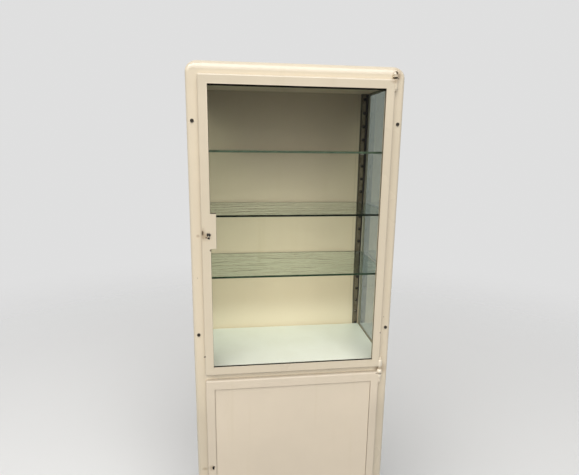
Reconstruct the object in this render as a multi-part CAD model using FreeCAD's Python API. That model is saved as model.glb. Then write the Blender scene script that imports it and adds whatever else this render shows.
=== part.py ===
"""Free-standing medical cabinet of enamelled sheet steel.

A glazed upper door and side windows show three glass shelves and an opal glass floor.
A solid door with a sunk panel closes the lower compartment. Both doors hang on vertical
pivot pins at the right and each has a rim lock at the left.

Millimetres, +Z up, +Y to the rear. The pieces are drawn with Y = 0 on the flat of the
front, and saved with the origin on the floor at the middle of the whole cabinet.
"""

import FreeCAD, Part
import math
import os
from FreeCAD import Vector

# Overall sizes of the body
body_width = 566.0
body_depth = 305.0
body_height = 1454.0
leg_height = 150.0
sheet = 1.2
punch_side = 5.0
cut_over = 5.0

# Pressed front
top_corner_radius = 30.0
top_roll = 22.0
side_roll = 10.0
front_skirt = 32.0
return_depth = 8.0

# Places of the doors on the front
door_side_margin = 30.5
door_end_margin = 34.5
rail_gap = 16.5
door_lap = 10.5
upper_door_height = 808.0

# Both doors
door_gap = 1.5
door_thickness = 12.0
door_roll = 4.0
back_plate = 1.5

# Upper door
upper_stile = 23.5
upper_rail = 24.0
door_pane = 4.0
pane_lap = 7.0
seal_thickness = 0.8
seal_lip = 0.8
seal_width = 5.0

# Lower door
lower_stile = 24.5
lower_rail = 27.0
panel_recess = 2.5
panel_joint = 0.9

# Hinges
pivot_overhang = 1.8
pin_radius = 3.0
pin_clearance = 0.05
press_clearance = 0.01
pin_hold = 20.0
pin_end_clearance = 1.0
pin_stand = 8.0
knuckle_height = 24.0
knuckle_taper = 6.0
knuckle_tip = 4.0
bracket_radius = 7.0
bracket_height = 6.0
bracket_gap = 5.0
ball_height = 12.0
ball_neck_radius = 5.0
ball_shoulder = 2.0
ball_rise = 1.3
ball_arm_width = 8.0
ball_arm_height = 6.0
notch_clearance = 1.5
washer_radius = 4.6
washer_clearance = 0.2

# Locks
upper_keyhole_inset = 18.0
lower_keyhole_inset = 16.5
lower_keyhole_rise = 3.4
keyhole_radius = 3.2
keyhole_slot_width = 3.0
keyhole_slot_drop = 9.5
keyhole_room = 1.0
lock_case_left = 13.0
lock_case_width = 24.5
lock_case_depth = 18.8
lock_above = 54.5
lock_below = 36.0
lock_tab_border = 1.2
lock_pin_radius = 1.5
lock_pin_inset = 1.0
bolt_height = 18.0
bolt_thickness = 3.0
bolt_length = 18.0
bolt_rise = 28.0
bolt_inset = 14.0
bolt_clearance = 0.3
strike_sheet = 1.5
strike_width = 8.0
strike_height = 26.0
strike_clearance = 1.0

# Top box and decks
top_box = 36.0
ceiling_drop = 39.0
ceiling_flange = 6.0
opal_drop = 2.0
opal_thickness = 6.0
deck_flange = 20.0
bottom_drop = 2.0
bottom_flange = 30.0
side_return = 18.0

# Side windows
side_pane = 4.0
glazing_lap = 4.0
glazing_band = 3.0
glazing_thickness = 3.0
window_front = 46.0
window_rear = 20.0

# Shelf strips, clips and shelves
rear_strip_width = 15.0
rear_strip_inset = 13.0
rear_strip_depth = 6.0
front_strip_width = 18.0
front_strip_inset = 9.0
front_strip_face = 20.0
hole_line_inset = 20.5
hole_pitch = 43.0
first_hole_drop = 98.5
last_hole_rise = 30.0
shelf_holes = (3, 7, 11)
clip_clearance = 0.05
clip_width = 10.0
clip_drop = 9.0
clip_sheet = 2.0
clip_reach = 13.0
clip_tail = 4.0
shelf_glass = 5.5
shelf_gap = 3.0
plate_clearance = 1.0
shelf_side_clearance = 3.0

# Screws of the front strips
screw_inset = 14.5
screw_head_radius = 4.6
screw_head_height = 1.8
screw_shank_radius = 2.2
screw_slot_width = 1.0
screw_slot_depth = 0.8
upper_screw_drop = 147.0
lower_screw_drop = 723.0
screw_tail = 3.0

# Steel shelf in the lower compartment
steel_shelf_flange = 20.0
steel_shelf_clearance = 3.0
rail_leg = 20.0
rail_sheet = 1.5
rail_end = 22.0

# Legs and feet
leg_sheet = 2.0
leg_top_width = 56.0
leg_foot_width = 32.0
foot_height = 14.0
foot_border = 2.4
foot_sole = 6.0
foot_corner = 4.0

# Buffers between front and doors
buffer_side = 7.0
buffer_height = 1.2
buffer_end = 60.0

# Half sizes and levels that several pieces share
half = body_width / 2
inner_half = half - sheet
body_bottom = leg_height
body_top = leg_height + body_height
door_half = half - door_side_margin
opening_half = door_half - door_lap
upper_door_top = body_top - door_end_margin
upper_door_bottom = upper_door_top - upper_door_height
lower_door_top = upper_door_bottom - rail_gap
lower_door_bottom = body_bottom + door_end_margin
upper_opening = (upper_door_bottom + door_lap, upper_door_top - door_lap)
lower_opening = (lower_door_bottom + door_lap, lower_door_top - door_lap)
ceiling_level = body_top - ceiling_drop
opal_top = upper_opening[0] - opal_drop
deck_level = opal_top - opal_thickness
bottom_level = lower_opening[0] - bottom_drop
back_face = body_depth - sheet - sheet

# Planes of the doors, counted rearward from the flat of the front
door_back = -door_gap
door_front = door_back - door_thickness
back_plate_front = door_back - back_plate
pane_front = back_plate_front - door_pane
upper_reveal = pane_front - seal_thickness - door_front
pivot_x = door_half + pivot_overhang
pivot_y = (door_front + door_back) / 2
knuckle_radius = door_thickness / 2

# Lock places
upper_keyhole_x = -door_half + upper_keyhole_inset
lower_keyhole_x = -door_half + lower_keyhole_inset
upper_keyhole_z = (upper_door_bottom + upper_door_top) / 2
lower_keyhole_z = (lower_door_bottom + lower_door_top) / 2 + lower_keyhole_rise
upper_keyhole = (upper_keyhole_x, upper_keyhole_z)
lower_keyhole = (lower_keyhole_x, lower_keyhole_z)
case_x0 = -door_half + lock_case_left
case_x1 = case_x0 + lock_case_width
case_back = door_back + lock_case_depth
bolt_y0 = door_back + bolt_inset
tab_edge_x = case_x1 + lock_tab_border

# Shelf strip places
rear_strip_face = back_face - rear_strip_depth
strip_outer_rear = half - rear_strip_inset
strip_outer_front = half - front_strip_inset
hole_x = half - hole_line_inset
pane_inner = inner_half - side_pane
glazing_inner = pane_inner - glazing_thickness

# The origin lies at the middle of the depth, hinge brackets included
foremost = pivot_y - bracket_radius
rearmost = body_depth
middle_y = (foremost + rearmost) / 2


def box(x0, x1, y0, y1, z0, z1):
    """Block between two corners."""
    return Part.makeBox(x1 - x0, y1 - y0, z1 - z0, Vector(x0, y0, z0))


def rod(start, axis, length, radius):
    """Round bar from a start point along an axis."""
    return Part.makeCylinder(radius, length, Vector(*start), Vector(*axis))


def fused(shapes):
    """One solid from touching or overlapping shapes, seams removed."""
    result = shapes[0]
    for shape in shapes[1:]:
        result = result.fuse(shape)
    return result.removeSplitter()


def mirrored(shape):
    """The same shape on the other side of the cabinet."""
    return shape.mirror(Vector(0, 0, 0), Vector(1, 0, 0))


def plate_xz(points, y0, y1):
    """Flat plate with a polygon outline seen from the front."""
    corners = [Vector(x, y0, z) for x, z in points]
    face = Part.Face(Part.makePolygon(corners + corners[:1]))
    return face.extrude(Vector(0, y1 - y0, 0))


def plate_yz(points, x0, x1):
    """Flat plate with a polygon outline seen from the side."""
    corners = [Vector(x0, y, z) for y, z in points]
    face = Part.Face(Part.makePolygon(corners + corners[:1]))
    return face.extrude(Vector(x1 - x0, 0, 0))


def arched(side, bottom, top, radius, y0, y1):
    """Block with two rounded top corners, seen from the front."""
    inward = radius * (1 - math.sqrt(0.5))
    left_low = Vector(-side, y0, bottom)
    left_high = Vector(-side, y0, top - radius)
    left_mid = Vector(-side + inward, y0, top - inward)
    top_left = Vector(-side + radius, y0, top)
    top_right = Vector(side - radius, y0, top)
    right_mid = Vector(side - inward, y0, top - inward)
    right_high = Vector(side, y0, top - radius)
    right_low = Vector(side, y0, bottom)
    edges = [
        Part.LineSegment(left_low, left_high),
        Part.Arc(left_high, left_mid, top_left),
        Part.LineSegment(top_left, top_right),
        Part.Arc(top_right, right_mid, right_high),
        Part.LineSegment(right_high, right_low),
        Part.LineSegment(right_low, left_low),
    ]
    wire = Part.Wire([edge.toShape() for edge in edges])
    return Part.Face(wire).extrude(Vector(0, y1 - y0, 0))


def roll_front(shape, front, top, bottom, side_radius, top_radius):
    """Round the front edge: side radius up the sides, growing to the top radius over the corners."""
    near = sheet / 10
    document = FreeCAD.newDocument()
    base = document.addObject("Part::Feature", "base")
    base.Shape = shape
    rolled = document.addObject("Part::Fillet", "rolled")
    rolled.Base = base
    radii = []
    for number, edge in enumerate(base.Shape.Edges, 1):
        bounds = edge.BoundBox
        on_front = abs(bounds.YMax - front) < near and bounds.YLength < near
        if not on_front or bounds.ZMax < bottom + near:
            continue
        ends = []
        for parameter in (edge.FirstParameter, edge.LastParameter):
            at_top = abs(edge.valueAt(parameter).z - top) < near
            ends.append(top_radius if at_top else side_radius)
        radii.append((number, ends[0], ends[1]))
    rolled.Edges = radii
    document.recompute()
    result = rolled.Shape.copy()
    FreeCAD.closeDocument(document.Name)
    return result.Solids[0]


def front_form(inset):
    """The pressed front as a solid, every outer surface moved inward by the inset."""
    shape = arched(
        half - inset,
        body_bottom + inset,
        body_top - inset,
        top_corner_radius - inset,
        inset,
        front_skirt,
    )
    return roll_front(
        shape, inset, body_top - inset, body_bottom + inset, side_roll - inset, top_roll - inset
    )


def behind_front(shape):
    """Trim a piece to the inside of the pressed front and its rolled edges."""
    block = box(-half, half, 0, front_skirt, body_bottom + sheet, body_top - sheet)
    return shape.cut(block.cut(front_form(sheet)))


def pin_hole(x, y, z0, z1, radius):
    """Vertical hole tool."""
    return rod((x, y, z0), (0, 0, 1), z1 - z0, radius)


def screw_places():
    """Centres of the four screws in the front."""
    return [
        (side * (half - screw_inset), body_top - drop)
        for side in (-1, 1)
        for drop in (upper_screw_drop, lower_screw_drop)
    ]


def punched(shape, x, z, face_y):
    """Punch a square hole through a sheet whose front face is at the given depth."""
    reach = punch_side / 2
    tool = box(x - reach, x + reach, face_y - sheet, face_y + sheet + sheet, z - reach, z + reach)
    return shape.cut(tool)


def front_frame():
    """Pressed front with rolled edges, two door openings and their returns."""
    shell = front_form(0).cut(front_form(sheet))
    for low, high in (upper_opening, lower_opening):
        outer = box(-opening_half - sheet, opening_half + sheet, 0, return_depth, low - sheet, high + sheet)
        shell = shell.fuse(outer)
        shell = shell.cut(box(-opening_half, opening_half, -cut_over, return_depth + cut_over, low, high))
    for x, z in screw_places():
        shell = punched(shell, x, z, 0)
    return shell.removeSplitter()


def strike_angle(keyhole_z):
    """Steel angle behind the left return of an opening, where a lock bolt catches."""
    outer_x = -opening_half - sheet
    rear = bolt_y0 - strike_clearance
    low = keyhole_z + bolt_rise - strike_height / 2
    high = keyhole_z + bolt_rise + strike_height / 2
    along = box(outer_x - strike_sheet, outer_x, sheet, rear, low, high)
    across = box(outer_x - strike_width, outer_x, rear - strike_sheet, rear, low, high)
    return fused([along, across])


def strike_angles():
    return Part.makeCompound([strike_angle(upper_keyhole_z), strike_angle(lower_keyhole_z)])


def window_levels():
    """Lowest and highest edge of the side windows."""
    band = glazing_lap + glazing_band
    return deck_level + band, ceiling_level - band


def window_span():
    """Front and rear edge of the side windows."""
    return window_front, body_depth - window_rear


def window_block(grow, x0, x1):
    """Block with the window's outline, grown by a lap."""
    low, high = window_levels()
    front, rear = window_span()
    return box(x0, x1, front - grow, rear + grow, low - grow, high + grow)


def side_panel():
    """Right-hand side: a sheet with a window and a rear return for the back panel."""
    top = body_top - top_box
    wall = box(inner_half, half, front_skirt, body_depth, body_bottom, top)
    rear = box(inner_half - side_return, half, body_depth - sheet, body_depth, body_bottom, top)
    return fused([wall, rear]).cut(window_block(0, inner_half - cut_over, half + cut_over))


def top_cover():
    """Top of the body: an arch of sheet with a closed rear end."""
    low = body_top - top_box
    outer = arched(half, low, body_top, top_corner_radius, front_skirt, body_depth)
    inner = arched(
        inner_half,
        low - cut_over,
        body_top - sheet,
        top_corner_radius - sheet,
        front_skirt - cut_over,
        body_depth - sheet,
    )
    return outer.cut(inner)


def ceiling_panel():
    """Ceiling of the glazed compartment, with short side flanges turned up."""
    plate = box(-inner_half, inner_half, sheet, back_face, ceiling_level, ceiling_level + sheet)
    flange = box(
        inner_half - sheet,
        inner_half,
        front_skirt,
        back_face,
        ceiling_level,
        ceiling_level + ceiling_flange,
    )
    return behind_front(fused([plate, flange, mirrored(flange)]))


def back_panel():
    """Flat back sheet, from the bottom edge to behind the top cover."""
    top = body_top - top_corner_radius
    return box(-inner_half, inner_half, back_face, back_face + sheet, body_bottom, top)


def tray(level, flange):
    """Deck with flanges turned down on all four sides."""
    outer = box(-inner_half, inner_half, sheet, back_face, level - flange, level)
    inner = box(
        -inner_half + sheet,
        inner_half - sheet,
        sheet + sheet,
        back_face - sheet,
        level - flange - cut_over,
        level - sheet,
    )
    return behind_front(outer.cut(inner))


def glazing_frame():
    """Right-hand frame that holds the side pane from inside."""
    band = glazing_lap + glazing_band
    bars = window_block(band, glazing_inner, inner_half)
    bars = bars.cut(window_block(0, glazing_inner - cut_over, inner_half + cut_over))
    return bars.cut(window_block(glazing_lap, pane_inner, inner_half + cut_over))


def side_glass():
    """Right-hand side pane."""
    return window_block(glazing_lap, pane_inner, inner_half)


def hole_levels():
    """Heights of the holes in the shelf strips, from the top down."""
    first = body_top - first_hole_drop
    steps = int((first - opal_top - last_hole_rise) / hole_pitch)
    return [first - hole_pitch * number for number in range(steps + 1)]


def punch_strip(strip, face_y):
    """Punch the row of square holes in the face of a strip."""
    for z in hole_levels():
        strip = punched(strip, hole_x, z, face_y)
    return strip


def rear_strip():
    """Right rear strip: a shallow channel on the back panel, holes to the front."""
    outer_x = strip_outer_rear
    inner_x = outer_x - rear_strip_width
    channel = box(inner_x, outer_x, rear_strip_face, back_face, deck_level, ceiling_level)
    hollow = box(
        inner_x + sheet,
        outer_x - sheet,
        rear_strip_face + sheet,
        back_face + cut_over,
        deck_level - cut_over,
        ceiling_level + cut_over,
    )
    return punch_strip(channel.cut(hollow), rear_strip_face)


def front_strip():
    """Right front strip: a deep channel behind the pressed front, holes to the rear."""
    outer_x = strip_outer_front
    inner_x = outer_x - front_strip_width
    channel = box(inner_x, outer_x, 0, front_strip_face, deck_level, ceiling_level)
    hollow = box(
        inner_x + sheet,
        outer_x - sheet,
        -cut_over,
        front_strip_face - sheet,
        deck_level - cut_over,
        ceiling_level + cut_over,
    )
    channel = channel.cut(hollow).common(front_form(sheet))
    for x, z in screw_places():
        channel = punched(channel, x, z, front_strip_face - sheet)
    return punch_strip(channel, front_strip_face - sheet)


def shelf_bottom(hole):
    """Underside of a shelf on the clips in one row of holes, level with the top of their tails."""
    return hole_levels()[hole] + punch_side / 2 - clip_clearance


def shelf_clip(side, face_y, direction, top):
    """Pressed clip: a square tail in the strip, an upright on its face and a tongue under the shelf."""
    x = side * hole_x
    tail_half = punch_side / 2 - clip_clearance
    tail = (x - tail_half, x + tail_half, -clip_tail, 0, -2 * tail_half, 0)
    upright = (x - clip_width / 2, x + clip_width / 2, 0, clip_sheet, -clip_drop, 0)
    tongue = (x - clip_width / 2, x + clip_width / 2, 0, clip_reach, -clip_sheet, 0)
    blocks = []
    for x0, x1, near, far, low, high in (tail, upright, tongue):
        y0, y1 = sorted([face_y + direction * near, face_y + direction * far])
        blocks.append(box(x0, x1, y0, y1, top + low, top + high))
    return fused(blocks)


def shelf_clips():
    """Four clips for each glass shelf."""
    clips = []
    for hole in shelf_holes:
        top = shelf_bottom(hole)
        for side in (-1, 1):
            clips.append(shelf_clip(side, rear_strip_face, -1, top))
            clips.append(shelf_clip(side, front_strip_face, 1, top))
    return Part.makeCompound(clips)


def glass_shelf(hole):
    """Loose glass shelf on the clips in one row of holes."""
    low = shelf_bottom(hole)
    side = glazing_inner - shelf_side_clearance
    front = front_strip_face + shelf_gap
    rear = rear_strip_face - shelf_gap
    return box(-side, side, front, rear, low, low + shelf_glass)


def opal_floor_plate():
    """White glass plate on the deck, between the glazing frames and the strips."""
    side = glazing_inner - plate_clearance
    front = front_strip_face + plate_clearance
    rear = rear_strip_face - plate_clearance
    return box(-side, side, front, rear, deck_level, opal_top)


def strip_screws():
    """Cheese-head screws through the front into the front strips."""
    screws = []
    for x, z in screw_places():
        head = rod((x, 0, z), (0, -1, 0), screw_head_height, screw_head_radius)
        shank = rod((x, 0, z), (0, 1, 0), front_strip_face + screw_tail, screw_shank_radius)
        slot = box(
            x - screw_head_radius,
            x + screw_head_radius,
            -screw_head_height - cut_over,
            -screw_head_height + screw_slot_depth,
            z - screw_slot_width / 2,
            z + screw_slot_width / 2,
        )
        screws.append(fused([head, shank]).cut(slot))
    return Part.makeCompound(screws)


def upright_edges(shape):
    """Edges of a door block that run from front to rear."""
    return [edge for edge in shape.Edges if edge.BoundBox.YLength > door_thickness / 2]


def rim_edges(shape, face):
    """Edges round the front face of a door block."""
    return [edge for edge in shape.Edges if abs(edge.BoundBox.YMax - face) < sheet / 10]


def door_form(low, high):
    """Outer form of a door, with a rolled rim and corners."""
    block = box(-door_half, door_half, door_front, door_back, low, high)
    return block.makeFillet(door_roll, upright_edges(block) + rim_edges(block, door_front))


def door_inside(low, high):
    """Space inside a door's sheet, its roundings kept simple by flats that touch the true curves."""
    side = door_half - sheet
    face = door_front + sheet
    flat_share = 2 - math.sqrt(2)
    flat = (door_roll - sheet) * flat_share
    block = box(-side, side, face, door_back, low + sheet, high - sheet)
    return block.makeChamfer(flat, upright_edges(block) + rim_edges(block, face))


def pane_outline(grow):
    """Corners of the upper door's opening, grown outward, with the lock tab left standing."""
    side = door_half - upper_stile + grow
    low = upper_door_bottom + upper_rail - grow
    high = upper_door_top - upper_rail + grow
    tab_x = tab_edge_x - grow
    tab_low = upper_keyhole_z - lock_below - lock_tab_border + grow
    tab_high = upper_keyhole_z + lock_above + lock_tab_border - grow
    return [
        (-side, low),
        (side, low),
        (side, high),
        (-side, high),
        (-side, tab_high),
        (tab_x, tab_high),
        (tab_x, tab_low),
        (-side, tab_low),
    ]


def panel_outline(shrink):
    """Corners of the lower door's opening, drawn inward."""
    side = door_half - lower_stile - shrink
    low = lower_door_bottom + lower_rail + shrink
    high = lower_door_top - lower_rail - shrink
    return [(-side, low), (side, low), (side, high), (-side, high)]


def keyhole(place, y0, y1):
    """Keyhole tool: a round hole with a slot below it."""
    x, z = place
    bow = rod((x, y0, z), (0, 1, 0), y1 - y0, keyhole_radius)
    slot = box(
        x - keyhole_slot_width / 2,
        x + keyhole_slot_width / 2,
        y0,
        y1,
        z - keyhole_slot_drop,
        z,
    )
    return fused([bow, slot])


def knuckle(end, direction):
    """Solid hinge knuckle that starts at a door's end and tapers along its edge."""
    barrel = rod((pivot_x, pivot_y, end), (0, 0, direction), knuckle_height, knuckle_radius)
    cone_start = Vector(pivot_x, pivot_y, end + direction * knuckle_height)
    cone = Part.makeCone(
        knuckle_radius, knuckle_tip, knuckle_taper, cone_start, Vector(0, 0, direction)
    )
    return fused([barrel, cone])


def door_knuckles(low, high):
    """Upper and lower knuckle of one door, bored for the pivot pins."""
    bored = []
    for end, direction in ((high, -1), (low, 1)):
        depth = pin_hold + pin_end_clearance
        bore = rod((pivot_x, pivot_y, end), (0, 0, direction), depth, pin_radius + pin_clearance)
        bored.append(knuckle(end, direction).cut(bore))
    return Part.makeCompound(bored)


def cut_knuckles(shape, low, high):
    """Make room for the two knuckles of a door."""
    for end, direction in ((high, -1), (low, 1)):
        shape = shape.cut(knuckle(end, direction))
    return shape


def ball_centre():
    """Height of the middle hinge's ball, beside the lower door's top edge."""
    return lower_door_top + ball_rise


def middle_bracket_low():
    return ball_centre() - ball_height / 2


def lower_knuckle_top():
    """Upper end of the lower door's hinge edge, below the ball."""
    return middle_bracket_low() - notch_clearance


def ball_room(wall):
    """Round room for the middle hinge's ball in the lower door's corner, plus a wall round it."""
    low = lower_knuckle_top() - wall
    radius = bracket_radius + notch_clearance + wall
    return rod((pivot_x, pivot_y, low), (0, 0, 1), upper_door_bottom - low, radius)


def door_frame(low, high, outline, walled_outline, reveal, key_place):
    """Pressed door front with a rolled rim and a reveal round its opening."""
    shell = door_form(low, high).cut(door_inside(low, high))
    wall = plate_xz(walled_outline, door_front, door_front + reveal)
    opening = plate_xz(outline, door_front - cut_over, door_front + reveal + cut_over)
    shell = shell.fuse(wall).cut(opening)
    return shell.cut(keyhole(key_place, door_front - cut_over, door_front + sheet + sheet))


def upper_door_frame():
    frame = door_frame(
        upper_door_bottom,
        upper_door_top,
        pane_outline(0),
        pane_outline(sheet),
        upper_reveal,
        upper_keyhole,
    )
    return cut_knuckles(frame, upper_door_bottom, upper_door_top).removeSplitter()


def lower_door_frame():
    """Pressed front of the lower door, its upper right corner dished round the hinge ball."""
    frame = door_frame(
        lower_door_bottom,
        lower_door_top,
        panel_outline(0),
        panel_outline(-sheet),
        panel_recess,
        lower_keyhole,
    )
    dish = door_form(lower_door_bottom, lower_door_top).common(ball_room(sheet))
    frame = frame.fuse(dish).cut(ball_room(0))
    return cut_knuckles(frame, lower_door_bottom, lower_knuckle_top()).removeSplitter()


def door_back_plate(low, high, key_place):
    """Plate that fills the rear of a door frame, with the keyhole through it."""
    keyhole_x, keyhole_z = key_place
    slab = box(-half, half, back_plate_front, door_back, low, high)
    plate = door_inside(low, high).common(slab)
    reach = keyhole_radius + keyhole_room
    key_room = box(
        keyhole_x - reach,
        keyhole_x + reach,
        back_plate_front - sheet,
        door_back + sheet,
        keyhole_z - keyhole_slot_drop - keyhole_room,
        keyhole_z + reach,
    )
    return plate.cut(key_room)


def upper_door_back():
    plate = door_back_plate(upper_door_bottom, upper_door_top, upper_keyhole)
    plate = cut_knuckles(plate, upper_door_bottom, upper_door_top)
    return plate.cut(plate_xz(pane_outline(0), back_plate_front - cut_over, door_back + cut_over))


def lower_door_liner():
    plate = door_back_plate(lower_door_bottom, lower_door_top, lower_keyhole)
    plate = plate.cut(ball_room(sheet))
    return cut_knuckles(plate, lower_door_bottom, lower_knuckle_top())


def upper_door_glass():
    """Pane behind the reveal, notched round the lock."""
    return plate_xz(pane_outline(pane_lap), pane_front, back_plate_front)


def upper_door_seal():
    """Dark strip between the reveal and the pane."""
    outer = plate_xz(pane_outline(seal_width), pane_front - seal_thickness, pane_front)
    inner = plate_xz(pane_outline(-seal_lip), pane_front - cut_over, pane_front + cut_over)
    return outer.cut(inner)


def lower_door_panel():
    """Sunk panel, a shallow tray whose walls stand on the liner."""
    face = door_front + panel_recess
    outer = plate_xz(panel_outline(panel_joint), face, back_plate_front)
    inner = plate_xz(panel_outline(panel_joint + sheet), face + sheet, back_plate_front + cut_over)
    return outer.cut(inner)


def bolt_levels(keyhole_z):
    """Lower and upper edge of a lock bolt."""
    middle = keyhole_z + bolt_rise
    return middle - bolt_height / 2, middle + bolt_height / 2


def lock_case(keyhole_z):
    """Rim lock case on the back of a door, open to the plate in front of it."""
    low = keyhole_z - lock_below
    high = keyhole_z + lock_above
    case = box(case_x0, case_x1, door_back, case_back, low, high)
    hollow = box(
        case_x0 + sheet,
        case_x1 - sheet,
        door_back - cut_over,
        case_back - sheet,
        low + sheet,
        high - sheet,
    )
    bolt_low, bolt_high = bolt_levels(keyhole_z)
    slot = box(
        case_x0 - cut_over,
        case_x0 + sheet + cut_over,
        bolt_y0 - bolt_clearance,
        bolt_y0 + bolt_thickness + bolt_clearance,
        bolt_low - bolt_clearance,
        bolt_high + bolt_clearance,
    )
    return case.cut(hollow).cut(slot)


def lock_pin(place):
    """Drill pin of a lock, on the rear wall of its case."""
    x, z = place
    start = door_front + lock_pin_inset
    length = case_back - sheet - start
    return rod((x, start, z), (0, 1, 0), length, lock_pin_radius)


def lock_bolt(keyhole_z):
    """Sliding bolt, drawn back so that its tip is flush with the case."""
    low, high = bolt_levels(keyhole_z)
    return box(case_x0, case_x0 + bolt_length, bolt_y0, bolt_y0 + bolt_thickness, low, high)


def bracket_bore(z0, z1):
    """Tool for the pin's seat in a hinge bracket."""
    return pin_hole(pivot_x, pivot_y, z0, z1, pin_radius + press_clearance)


def hinge_arm(low, height):
    """Fixed arm with a round end that holds a pivot pin."""
    barrel = rod((pivot_x, pivot_y, low), (0, 0, 1), height, bracket_radius)
    web = box(
        pivot_x - bracket_radius, pivot_x + bracket_radius, pivot_y, 0, low, low + height
    )
    return fused([barrel, web]).cut(bracket_bore(low - cut_over, low + height + cut_over))


def top_bracket_low():
    return upper_door_top + bracket_gap


def bottom_bracket_low():
    return lower_door_bottom - bracket_gap - bracket_height


def middle_hinge_bracket():
    """Turned ball on a short arm, between the upper door and the dished corner of the lower one."""
    low = middle_bracket_low()
    high = low + ball_height
    profile = [
        (0, low),
        (ball_neck_radius, low),
        (bracket_radius, low + ball_shoulder),
        (bracket_radius, high - ball_shoulder),
        (ball_neck_radius, high),
        (0, high),
    ]
    corners = [Vector(pivot_x + radius, pivot_y, z) for radius, z in profile]
    face = Part.Face(Part.makePolygon(corners + corners[:1]))
    ball = face.revolve(Vector(pivot_x, pivot_y, low), Vector(0, 0, 1), 360)
    arm = box(
        pivot_x - ball_arm_width / 2,
        pivot_x + ball_arm_width / 2,
        pivot_y,
        0,
        ball_centre() - ball_arm_height / 2,
        ball_centre() + ball_arm_height / 2,
    )
    return fused([ball, arm]).cut(bracket_bore(low - cut_over, high + cut_over))


def pivot_pin(z0, z1):
    return rod((pivot_x, pivot_y, z0), (0, 0, 1), z1 - z0, pin_radius)


def top_hinge_pin():
    return pivot_pin(upper_door_top - pin_hold, top_bracket_low() + bracket_height + pin_stand)


def middle_hinge_pin():
    return pivot_pin(lower_knuckle_top() - pin_hold, upper_door_bottom + pin_hold)


def bottom_hinge_pin():
    return pivot_pin(bottom_bracket_low(), lower_door_bottom + pin_hold)


def hinge_washer(low, high):
    """Turned washer on a bracket, under a knuckle."""
    ring = rod((pivot_x, pivot_y, low), (0, 0, 1), high - washer_clearance - low, washer_radius)
    return ring.cut(pin_hole(pivot_x, pivot_y, low - cut_over, high + cut_over, pin_radius + press_clearance))


def hinge_washers():
    middle = hinge_washer(middle_bracket_low() + ball_height, upper_door_bottom)
    bottom = hinge_washer(bottom_bracket_low() + bracket_height, lower_door_bottom)
    return Part.makeCompound([middle, bottom])


def door_buffers():
    """Rubber pads on the front behind the doors' left stiles."""
    x = -(opening_half + door_half) / 2
    reach = buffer_side / 2
    pads = []
    for low, high in ((upper_door_bottom, upper_door_top), (lower_door_bottom, lower_door_top)):
        for z in (low + buffer_end, high - buffer_end):
            pads.append(box(x - reach, x + reach, -buffer_height, 0, z - reach, z + reach))
    return Part.makeCompound(pads)


def steel_shelf_level():
    """Top of the steel shelf, halfway up the lower compartment."""
    return (bottom_level + lower_opening[1]) / 2


def shelf_rails():
    """Two angle rails on the sides of the lower compartment."""
    top = steel_shelf_level() - sheet
    front = front_skirt + rail_end
    rear = back_face - rail_end
    upright = box(inner_half - rail_sheet, inner_half, front, rear, top - rail_leg, top)
    ledge = box(inner_half - rail_leg, inner_half, front, rear, top - rail_sheet, top)
    rail = fused([upright, ledge])
    return Part.makeCompound([rail, mirrored(rail)])


def steel_shelf():
    """Shelf tray with front and rear edges turned down."""
    level = steel_shelf_level()
    side = inner_half - steel_shelf_clearance
    front = front_skirt
    rear = back_face - steel_shelf_clearance
    plate = box(-side, side, front, rear, level - sheet, level)
    lips = [
        box(-side, side, y, y + sheet, level - steel_shelf_flange, level)
        for y in (front, rear - sheet)
    ]
    return fused([plate] + lips)


def leg_top():
    return bottom_level - sheet


def leg_corner(rear):
    """Outer corner of a leg in plan, and the direction in which its fore-and-aft flange runs."""
    x = inner_half - sheet
    if rear:
        return x, back_face - sheet, -1
    return x, front_skirt, 1


def leg_outline(start, direction):
    """Tapered outline of one flange of a leg, from its outer corner inward."""
    return [
        (start, foot_sole),
        (start + direction * leg_foot_width, foot_sole),
        (start + direction * leg_top_width, body_bottom),
        (start + direction * leg_top_width, leg_top()),
        (start, leg_top()),
    ]


def leg(rear):
    """Right-hand leg of folded angle, tapered below the body."""
    x, y, direction = leg_corner(rear)
    along = plate_yz(leg_outline(y, direction), x - leg_sheet, x)
    low_y = min(y, y + direction * leg_sheet)
    across = plate_xz(leg_outline(x, -1), low_y, low_y + leg_sheet)
    return fused([along, across])


def foot_cap(rear):
    """Right-hand rubber cap on the foot of a leg."""
    x, y, direction = leg_corner(rear)
    y_ends = sorted([y - direction * foot_border, y + direction * (leg_foot_width + foot_border)])
    cap = box(
        x - leg_foot_width - foot_border, x + foot_border, y_ends[0], y_ends[1], 0, foot_height
    )
    uprights = [edge for edge in cap.Edges if edge.BoundBox.ZLength > foot_height / 2]
    cap = cap.makeChamfer(foot_corner, uprights)
    return cap.cut(leg(rear))


def foot_caps():
    caps = [foot_cap(False), foot_cap(True)]
    return Part.makeCompound(caps + [mirrored(cap) for cap in caps])


def save(name, shape):
    """Write one piece with its place counted from the cabinet's origin."""
    placed = shape.copy()
    placed.translate(Vector(0, -middle_y, 0))
    placed.exportStep("parts/" + name + ".step")
    solids = placed.Solids
    if not solids or not all(solid.isValid() for solid in solids):
        raise ValueError(name + " is not a valid solid")


def save_pair(left_name, right_name, shape):
    """Write a right-hand piece and its mirror image."""
    save(right_name, shape)
    save(left_name, mirrored(shape))


def build_body():
    save("front_frame", front_frame())
    save("top_cover", top_cover())
    save_pair("left_side_panel", "right_side_panel", side_panel())
    save("ceiling_panel", ceiling_panel())
    save("back_panel", back_panel())
    save("upper_deck", tray(deck_level, deck_flange))
    save("bottom_panel", tray(bottom_level, bottom_flange))
    save_pair("front_left_leg", "front_right_leg", leg(False))
    save_pair("rear_left_leg", "rear_right_leg", leg(True))
    save("foot_caps", foot_caps())
    save("door_buffers", door_buffers())
    save("strike_angles", strike_angles())
    save("shelf_rails", shelf_rails())
    save("steel_shelf", steel_shelf())


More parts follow.
